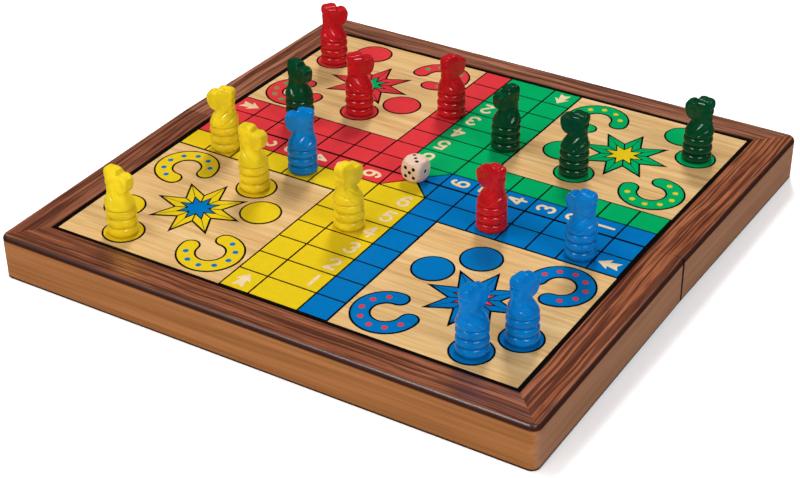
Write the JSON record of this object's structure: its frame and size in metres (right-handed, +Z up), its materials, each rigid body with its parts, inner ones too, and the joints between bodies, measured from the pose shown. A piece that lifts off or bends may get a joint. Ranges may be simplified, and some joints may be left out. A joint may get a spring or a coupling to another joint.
{
  "type": "folding ludo board",
  "caption": "Folding wooden ludo case: two hinged trays with a printed track on their outer faces, and horse pawns and a die standing on it.",
  "frame": {"origin": "under the middle of the fold line, at the foot of the hinge barrels, in the middle of the open board", "axes": "+X along the fold, to the right of the player at the front edge; +Y away from that player; +Z up. At rest the fold joint reads 0 and each half slopes down from the fold by about 1 degree"},
  "size_m": [0.3, 0.3006, 0.0634],
  "materials": {
    "rosewood_rail": "varnished dark rosewood veneer on top, lighter stained sides",
    "beech_rail": "plain sanded wood",
    "birch_panel": "light plywood, clear satin varnish",
    "black_ink": "satin screen-printed ink",
    "brass": "brass plated, satin",
    "pin_steel": "bright drawn steel",
    "magnet": "nickel plated",
    "die_wood": "pale lacquered wood",
    "pip_paint": "black paint",
    "red_ink": "satin screen-printed ink",
    "red_plastic": "glossy moulded plastic",
    "green_ink": "satin screen-printed ink",
    "green_plastic": "glossy moulded plastic",
    "blue_ink": "satin screen-printed ink",
    "blue_plastic": "glossy moulded plastic",
    "yellow_ink": "satin screen-printed ink",
    "yellow_plastic": "glossy moulded plastic"
  },
  "bodies": {
    "front_half": {"front_rail": "rosewood_rail", "front_left_rail": "rosewood_rail", "front_right_rail": "rosewood_rail", "front_fold_rail": "beech_rail", "front_panel": "birch_panel", "front_black_print": "black_ink", "front_yellow_print": "yellow_ink", "front_blue_print": "blue_ink", "front_red_print": "red_ink", "front_magnets": "magnet", "front_hinge_screws": "brass", "left_hinge_front_leaf": "brass", "left_hinge_pin": "pin_steel", "right_hinge_front_leaf": "brass", "right_hinge_pin": "pin_steel"},
    "back_half": {"back_rail": "rosewood_rail", "back_left_rail": "rosewood_rail", "back_right_rail": "rosewood_rail", "back_fold_rail": "beech_rail", "back_panel": "birch_panel", "back_black_print": "black_ink", "back_green_print": "green_ink", "back_red_print": "red_ink", "back_blue_print": "blue_ink", "back_magnets": "magnet", "back_hinge_screws": "brass", "left_hinge_back_leaf": "brass", "right_hinge_back_leaf": "brass"},
    "red_horse_1": {"red_horse_1": "red_plastic"},
    "red_horse_2": {"red_horse_2": "red_plastic"},
    "red_horse_3": {"red_horse_3": "red_plastic"},
    "red_horse_4": {"red_horse_4": "red_plastic"},
    "green_horse_1": {"green_horse_1": "green_plastic"},
    "green_horse_2": {"green_horse_2": "green_plastic"},
    "green_horse_3": {"green_horse_3": "green_plastic"},
    "green_horse_4": {"green_horse_4": "green_plastic"},
    "blue_horse_1": {"blue_horse_1": "blue_plastic"},
    "blue_horse_2": {"blue_horse_2": "blue_plastic"},
    "blue_horse_3": {"blue_horse_3": "blue_plastic"},
    "blue_horse_4": {"blue_horse_4": "blue_plastic"},
    "yellow_horse_1": {"yellow_horse_1": "yellow_plastic"},
    "yellow_horse_2": {"yellow_horse_2": "yellow_plastic"},
    "yellow_horse_3": {"yellow_horse_3": "yellow_plastic"},
    "yellow_horse_4": {"yellow_horse_4": "yellow_plastic"},
    "die": {"die": "die_wood", "die_pips": "pip_paint"}
  },
  "joints": [
    {"name": "fold", "type": "hinge", "parent": "front_half", "child": "back_half", "pos_m": [0, 0, 0.0025], "axis": [-1, 0, 0], "range_deg": [0, 178]},
    {"name": "red_horse_1_lift", "type": "slide", "parent": "back_half", "child": "red_horse_1", "axis": [0, 0.0168, 0.9999], "range_m": [0, 0.06]},
    {"name": "red_horse_2_lift", "type": "slide", "parent": "back_half", "child": "red_horse_2", "axis": [0, 0.0168, 0.9999], "range_m": [0, 0.06]},
    {"name": "red_horse_3_lift", "type": "slide", "parent": "back_half", "child": "red_horse_3", "axis": [0, 0.0168, 0.9999], "range_m": [0, 0.06]},
    {"name": "red_horse_4_lift", "type": "slide", "parent": "front_half", "child": "red_horse_4", "axis": [0, -0.0168, 0.9999], "range_m": [0, 0.06]},
    {"name": "green_horse_1_lift", "type": "slide", "parent": "back_half", "child": "green_horse_1", "axis": [0, 0.0168, 0.9999], "range_m": [0, 0.06]},
    {"name": "green_horse_2_lift", "type": "slide", "parent": "back_half", "child": "green_horse_2", "axis": [0, 0.0168, 0.9999], "range_m": [0, 0.06]},
    {"name": "green_horse_3_lift", "type": "slide", "parent": "back_half", "child": "green_horse_3", "axis": [0, 0.0168, 0.9999], "range_m": [0, 0.06]},
    {"name": "green_horse_4_lift", "type": "slide", "parent": "back_half", "child": "green_horse_4", "axis": [0, 0.0168, 0.9999], "range_m": [0, 0.06]},
    {"name": "blue_horse_1_lift", "type": "slide", "parent": "front_half", "child": "blue_horse_1", "axis": [0, -0.0168, 0.9999], "range_m": [0, 0.06]},
    {"name": "blue_horse_2_lift", "type": "slide", "parent": "front_half", "child": "blue_horse_2", "axis": [0, -0.0168, 0.9999], "range_m": [0, 0.06]},
    {"name": "blue_horse_3_lift", "type": "slide", "parent": "front_half", "child": "blue_horse_3", "axis": [0, -0.0168, 0.9999], "range_m": [0, 0.06]},
    {"name": "blue_horse_4_lift", "type": "slide", "parent": "front_half", "child": "blue_horse_4", "axis": [0, -0.0168, 0.9999], "range_m": [0, 0.06]},
    {"name": "yellow_horse_1_lift", "type": "slide", "parent": "front_half", "child": "yellow_horse_1", "axis": [0, -0.0168, 0.9999], "range_m": [0, 0.06]},
    {"name": "yellow_horse_2_lift", "type": "slide", "parent": "front_half", "child": "yellow_horse_2", "axis": [0, -0.0168, 0.9999], "range_m": [0, 0.06]},
    {"name": "yellow_horse_3_lift", "type": "slide", "parent": "front_half", "child": "yellow_horse_3", "axis": [0, -0.0168, 0.9999], "range_m": [0, 0.06]},
    {"name": "yellow_horse_4_lift", "type": "slide", "parent": "front_half", "child": "yellow_horse_4", "axis": [0, -0.0168, 0.9999], "range_m": [0, 0.06]},
    {"name": "die_lift", "type": "slide", "parent": "front_half", "child": "die", "axis": [0, -0.0168, 0.9999], "range_m": [0, 0.06]}
  ]
}
